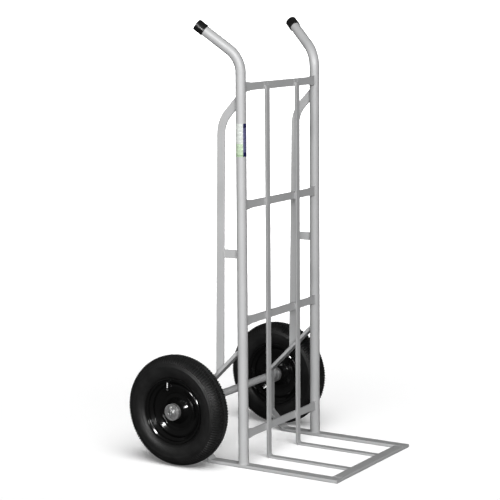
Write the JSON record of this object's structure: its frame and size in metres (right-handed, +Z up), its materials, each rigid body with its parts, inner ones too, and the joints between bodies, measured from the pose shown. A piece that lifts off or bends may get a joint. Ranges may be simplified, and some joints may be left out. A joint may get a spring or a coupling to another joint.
{
  "type": "hand truck",
  "caption": "Upright hand truck: welded round tube and flat bar frame with a flat open toe, splayed handles, rear braces and two pneumatic wheels on a through axle.",
  "frame": {"origin": "on the floor, below the middle of the bounding box", "axes": "+Z up; -Y towards the load and the toe; +Y towards the handles and the axle; X along the axle, with left at -X"},
  "size_m": [0.7, 0.7032, 1.3781],
  "materials": {
    "silver_paint": "satin silver-grey enamel",
    "zinc_plate": "dull zinc plate",
    "black_enamel": "gloss black enamel",
    "tyre_rubber": "matt",
    "butyl_rubber": "matt",
    "black_plastic": "gloss",
    "bearing_steel": "ground",
    "label_film": "printed film"
  },
  "bodies": {
    "frame": {"axle": "zinc_plate", "axle_tube": "silver_paint", "brace_left": "silver_paint", "brace_right": "silver_paint", "brace_spacer_left": "silver_paint", "brace_spacer_right": "silver_paint", "cotter_pin_left": "zinc_plate", "cotter_pin_right": "zinc_plate", "crossbar_1": "silver_paint", "crossbar_2": "silver_paint", "crossbar_3": "silver_paint", "crossbar_4": "silver_paint", "handle_cap_left": "black_plastic", "handle_cap_right": "black_plastic", "inner_race_inner_left": "bearing_steel", "inner_race_inner_right": "bearing_steel", "inner_race_outer_left": "bearing_steel", "inner_race_outer_right": "bearing_steel", "label": "label_film", "side_bar_left": "silver_paint", "side_bar_right": "silver_paint", "slat_left": "silver_paint", "slat_right": "silver_paint", "toe_front_bar": "silver_paint", "upright_left": "silver_paint", "upright_right": "silver_paint", "washer_inner_left": "zinc_plate", "washer_inner_right": "zinc_plate", "washer_outer_left": "zinc_plate", "washer_outer_right": "zinc_plate"},
    "wheel_left": {"ball_cage_inner_left": "bearing_steel", "ball_cage_outer_left": "bearing_steel", "hub_left": "zinc_plate", "inner_tube_left": "butyl_rubber", "outer_race_inner_left": "bearing_steel", "outer_race_outer_left": "bearing_steel", "rim_left": "black_enamel", "seal_inner_left": "zinc_plate", "seal_outer_left": "zinc_plate", "tyre_left": "tyre_rubber", "valve_cap_left": "black_plastic", "valve_stem_left": "butyl_rubber", "wheel_disc_inner_left": "black_enamel", "wheel_disc_outer_left": "black_enamel"},
    "wheel_right": {"ball_cage_inner_right": "bearing_steel", "ball_cage_outer_right": "bearing_steel", "hub_right": "zinc_plate", "inner_tube_right": "butyl_rubber", "outer_race_inner_right": "bearing_steel", "outer_race_outer_right": "bearing_steel", "rim_right": "black_enamel", "seal_inner_right": "zinc_plate", "seal_outer_right": "zinc_plate", "tyre_right": "tyre_rubber", "valve_cap_right": "black_plastic", "valve_stem_right": "butyl_rubber", "wheel_disc_inner_right": "black_enamel", "wheel_disc_outer_right": "black_enamel"}
  },
  "joints": [
    {"name": "wheel_left_spin", "type": "hinge", "parent": "frame", "child": "wheel_left", "pos_m": [-0.3035, 0.17715, 0.1745], "axis": [1, 0, 0], "continuous": true},
    {"name": "wheel_right_spin", "type": "hinge", "parent": "frame", "child": "wheel_right", "pos_m": [0.3035, 0.17715, 0.1745], "axis": [1, 0, 0], "continuous": true}
  ]
}
